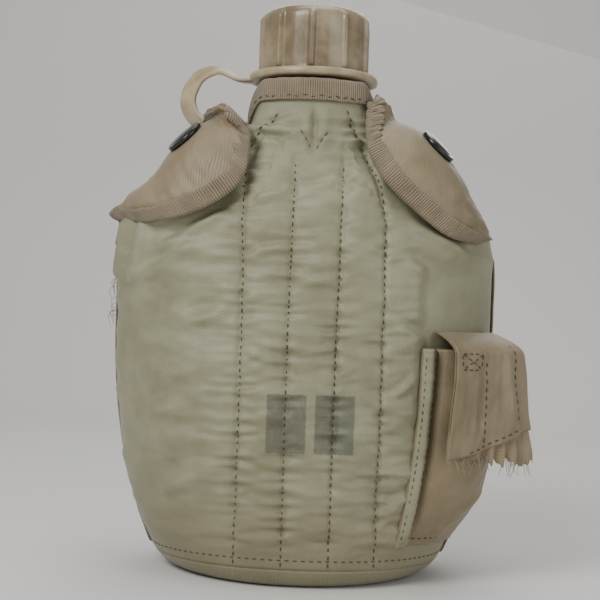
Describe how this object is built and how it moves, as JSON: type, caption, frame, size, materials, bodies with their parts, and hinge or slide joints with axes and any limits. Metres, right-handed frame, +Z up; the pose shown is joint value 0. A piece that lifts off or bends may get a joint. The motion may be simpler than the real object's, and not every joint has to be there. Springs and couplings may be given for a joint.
{
  "type": "canteen with belt cover",
  "caption": "Flat-sided moulded water bottle with a screw cap on a strap, in a quilted fabric belt cover with shoulder flaps, a side pocket and belt keepers.",
  "frame": {"origin": "centre of the neck's axis where it meets the flat base, on the surface the canteen stands on", "axes": "+Z up along the neck, -Y the front with the pocket, +Y the side worn against the hip, +X to the right seen from the front"},
  "size_m": [0.1587, 0.0939, 0.2136],
  "materials": {
    "bottle_plastic": "moulded, semi-gloss",
    "strap_plastic": "moulded, satin",
    "gasket_rubber": "matt",
    "nylon": "coated twill nylon with a slight sheen",
    "pile": "napped pile",
    "binding_tape": "ribbed tape",
    "fastener_tape": "hook and loop",
    "webbing": "flat webbing",
    "black_enamel": "gloss enamel",
    "nickel": "satin plate"
  },
  "bodies": {
    "canteen": {"bottle": "bottle_plastic", "bottle_neck": "bottle_plastic", "strap_neck_ring": "strap_plastic", "base_panel": "nylon", "front_panel": "nylon", "back_panel": "nylon", "base_lining": "pile", "front_lining": "pile", "back_lining": "pile", "front_neck_binding": "binding_tape", "back_neck_binding": "binding_tape", "left_seam_tape": "binding_tape", "right_seam_tape": "binding_tape", "left_snap_stud": "nickel", "right_snap_stud": "nickel", "pocket_pouch": "nylon", "pocket_hem": "nylon", "pocket_loop_tape": "fastener_tape", "left_belt_chape": "webbing", "right_belt_chape": "webbing", "left_keeper_frame": "black_enamel", "right_keeper_frame": "black_enamel"},
    "cap_strap": {"strap_cap_ring": "strap_plastic", "strap_band": "strap_plastic"},
    "cap": {"cap_shell": "bottle_plastic", "cap_gasket": "gasket_rubber"},
    "left_shoulder_flap": {"left_flap": "nylon", "left_flap_binding": "binding_tape", "left_snap_cap": "black_enamel", "left_snap_socket": "nickel"},
    "right_shoulder_flap": {"right_flap": "nylon", "right_flap_binding": "binding_tape", "right_snap_cap": "black_enamel", "right_snap_socket": "nickel"},
    "pocket_lid": {"pocket_flap": "nylon", "pocket_hook_tape": "fastener_tape"},
    "left_slide": {"left_keeper_slide": "nickel"},
    "right_slide": {"right_keeper_slide": "nickel"}
  },
  "joints": [
    {"name": "cap_rise", "type": "slide", "parent": "canteen", "child": "cap_strap", "axis": [0, 0, 1], "range_m": [0, 0.02475]},
    {"name": "cap_turn", "type": "hinge", "parent": "cap_strap", "child": "cap", "pos_m": [0, 0, 0.19], "axis": [0, 0, 1], "range_deg": [0, 1980]},
    {"name": "left_flap_fold", "type": "hinge", "parent": "canteen", "child": "left_shoulder_flap", "pos_m": [-0.0687, 0.013, 0.1405], "axis": [-0.7344, 0.2065, -0.6466], "range_deg": [-2, 60]},
    {"name": "right_flap_fold", "type": "hinge", "parent": "canteen", "child": "right_shoulder_flap", "pos_m": [0.0687, 0.013, 0.1405], "axis": [-0.7344, -0.2065, 0.6466], "range_deg": [-2, 110]},
    {"name": "pocket_lid_lift", "type": "hinge", "parent": "canteen", "child": "pocket_lid", "pos_m": [0.05954, -0.0225, 0.09395], "axis": [-0.7096, -0.7046, 0], "range_deg": [0, 110]},
    {"name": "left_slide_travel", "type": "slide", "parent": "canteen", "child": "left_slide", "axis": [0, 0, -1], "range_m": [0, 0.01]},
    {"name": "right_slide_travel", "type": "slide", "parent": "canteen", "child": "right_slide", "axis": [0, 0, -1], "range_m": [0, 0.01]}
  ],
  "couplings": [
    {"joint": "cap_rise", "follows": "cap_turn", "m_per_rad": 0.0007162}
  ]
}
